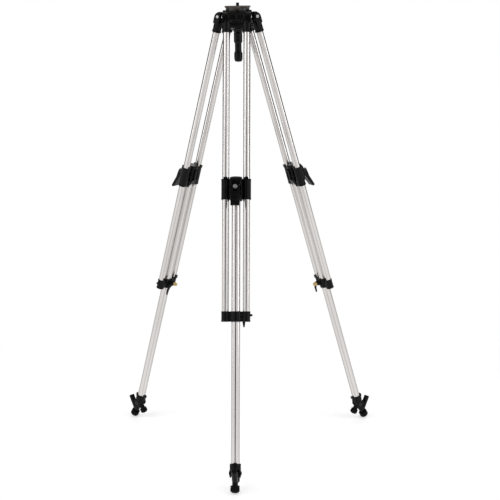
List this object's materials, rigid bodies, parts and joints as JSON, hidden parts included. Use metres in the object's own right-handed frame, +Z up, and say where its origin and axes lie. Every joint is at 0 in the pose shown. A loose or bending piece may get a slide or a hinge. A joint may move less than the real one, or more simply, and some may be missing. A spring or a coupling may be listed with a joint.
{
  "type": "surveyor tripod",
  "caption": "Folding metal tripod with a levelling ball head, twin-rail telescopic legs with flip levers, and rocking feet.",
  "frame": {"origin": "on the ground, under the middle of the spread legs box", "axes": "+Z up along the tripod axis, -Y towards the front leg, +X to the right seen from the front leg"},
  "size_m": [0.785, 0.6824, 1.3282],
  "materials": {
    "black_casting": "cast aluminium alloy under a black satin powder coat",
    "black_grip": "moulded black nylon",
    "black_rubber": "matt black rubber",
    "bright_tube": "polished, clear anodised",
    "bright_steel": "nickel plated steel",
    "dark_steel": "blackened steel",
    "brass": "turned brass",
    "cork_pad": "grey-brown bonded cork",
    "nylon": "natural nylon"
  },
  "bodies": {
    "head": {"crown": "black_casting", "front_hinge_pin": "bright_steel", "right_hinge_pin": "bright_steel", "left_hinge_pin": "bright_steel"},
    "ball_seat": {"bowl_liner": "nylon"},
    "levelling_ball": {"half_ball": "black_casting", "top_pad": "cork_pad", "mounting_stud": "dark_steel", "draw_rod": "dark_steel", "clamp_cup": "black_casting"},
    "handle": {"handle_grip": "black_grip", "handle_knob": "black_grip"},
    "front_leg": {"front_shoulder": "black_casting", "front_rail_a": "bright_tube", "front_rail_b": "bright_tube", "front_bracket": "black_casting"},
    "front_extension": {"front_slider": "black_casting", "front_tension_bolt": "bright_steel", "front_tube": "bright_tube", "front_foot_socket": "black_casting", "front_foot_pin": "dark_steel"},
    "front_lever_arm": {"front_lever": "black_casting", "front_lever_pin": "dark_steel"},
    "front_lock": {"front_lock_screw": "brass", "front_lock_wing": "black_casting"},
    "front_foot": {"front_foot_rocker": "black_casting", "front_toe_cap": "black_rubber", "front_heel_cap": "black_rubber"},
    "right_leg": {"right_shoulder": "black_casting", "right_rail_a": "bright_tube", "right_rail_b": "bright_tube", "right_bracket": "black_casting"},
    "right_extension": {"right_slider": "black_casting", "right_tension_bolt": "bright_steel", "right_tube": "bright_tube", "right_foot_socket": "black_casting", "right_foot_pin": "dark_steel"},
    "right_lever_arm": {"right_lever": "black_casting", "right_lever_pin": "dark_steel"},
    "right_lock": {"right_lock_screw": "brass", "right_lock_wing": "black_casting"},
    "right_foot": {"right_foot_rocker": "black_casting", "right_toe_cap": "black_rubber", "right_heel_cap": "black_rubber"},
    "left_leg": {"left_shoulder": "black_casting", "left_rail_a": "bright_tube", "left_rail_b": "bright_tube", "left_bracket": "black_casting"},
    "left_extension": {"left_slider": "black_casting", "left_tension_bolt": "bright_steel", "left_tube": "bright_tube", "left_foot_socket": "black_casting", "left_foot_pin": "dark_steel"},
    "left_lever_arm": {"left_lever": "black_casting", "left_lever_pin": "dark_steel"},
    "left_lock": {"left_lock_screw": "brass", "left_lock_wing": "black_casting"},
    "left_foot": {"left_foot_rocker": "black_casting", "left_toe_cap": "black_rubber", "left_heel_cap": "black_rubber"}
  },
  "joints": [
    {"name": "level_turn", "type": "hinge", "parent": "head", "child": "ball_seat", "pos_m": [0, 0.11079, 1.30565], "axis": [0, 0, 1], "continuous": true},
    {"name": "level_tilt", "type": "hinge", "parent": "ball_seat", "child": "levelling_ball", "pos_m": [0, 0.11079, 1.30565], "axis": [1, 0, 0], "range_deg": [-10, 10]},
    {"name": "handle_turn", "type": "hinge", "parent": "levelling_ball", "child": "handle", "pos_m": [0, 0.11079, 1.20565], "axis": [0, 0, 1], "range_deg": [0, 360]},
    {"name": "front_leg_fold", "type": "hinge", "parent": "head", "child": "front_leg", "pos_m": [0, 0.06839, 1.28865], "axis": [1, 0, 0], "range_deg": [0, 16.5]},
    {"name": "front_leg_slide", "type": "slide", "parent": "front_leg", "child": "front_extension", "axis": [0, -0.284, -0.9588], "range_m": [-0.375, 0.3]},
    {"name": "front_clamp_lever", "type": "hinge", "parent": "front_extension", "child": "front_lever_arm", "pos_m": [0, -0.10135, 0.82476], "axis": [-1, 0, 0], "range_deg": [0, 100]},
    {"name": "front_lock_turn", "type": "hinge", "parent": "front_leg", "child": "front_lock", "pos_m": [0, -0.15385, 0.46798], "axis": [0, -0.9588, 0.284], "range_deg": [-60, 0]},
    {"name": "front_foot_rock", "type": "hinge", "parent": "front_extension", "child": "front_foot", "pos_m": [0, -0.29799, 0.05178], "axis": [1, 0, 0], "range_deg": [-25, 25]},
    {"name": "right_leg_fold", "type": "hinge", "parent": "head", "child": "right_leg", "pos_m": [0.03672, 0.13199, 1.28865], "axis": [-0.5, 0.866, 0], "range_deg": [0, 16.5]},
    {"name": "right_leg_slide", "type": "slide", "parent": "right_leg", "child": "right_extension", "axis": [0.246, 0.142, -0.9588], "range_m": [-0.375, 0.3]},
    {"name": "right_clamp_lever", "type": "hinge", "parent": "right_extension", "child": "right_lever_arm", "pos_m": [0.18372, 0.21686, 0.82476], "axis": [0.5, -0.866, 0], "range_deg": [0, 100]},
    {"name": "right_lock_turn", "type": "hinge", "parent": "right_leg", "child": "right_lock", "pos_m": [0.22918, 0.24311, 0.46798], "axis": [0.8304, 0.4794, 0.284], "range_deg": [-60, 0]},
    {"name": "right_foot_rock", "type": "hinge", "parent": "right_extension", "child": "right_foot", "pos_m": [0.35401, 0.31518, 0.05178], "axis": [-0.5, 0.866, 0], "range_deg": [-25, 25]},
    {"name": "left_leg_fold", "type": "hinge", "parent": "head", "child": "left_leg", "pos_m": [-0.03672, 0.13199, 1.28865], "axis": [-0.5, -0.866, 0], "range_deg": [0, 16.5]},
    {"name": "left_leg_slide", "type": "slide", "parent": "left_leg", "child": "left_extension", "axis": [-0.246, 0.142, -0.9588], "range_m": [-0.375, 0.3]},
    {"name": "left_clamp_lever", "type": "hinge", "parent": "left_extension", "child": "left_lever_arm", "pos_m": [-0.18372, 0.21686, 0.82476], "axis": [0.5, 0.866, 0], "range_deg": [0, 100]},
    {"name": "left_lock_turn", "type": "hinge", "parent": "left_leg", "child": "left_lock", "pos_m": [-0.22918, 0.24311, 0.46798], "axis": [-0.8304, 0.4794, 0.284], "range_deg": [-60, 0]},
    {"name": "left_foot_rock", "type": "hinge", "parent": "left_extension", "child": "left_foot", "pos_m": [-0.35401, 0.31518, 0.05178], "axis": [-0.5, -0.866, 0], "range_deg": [-25, 25]}
  ]
}
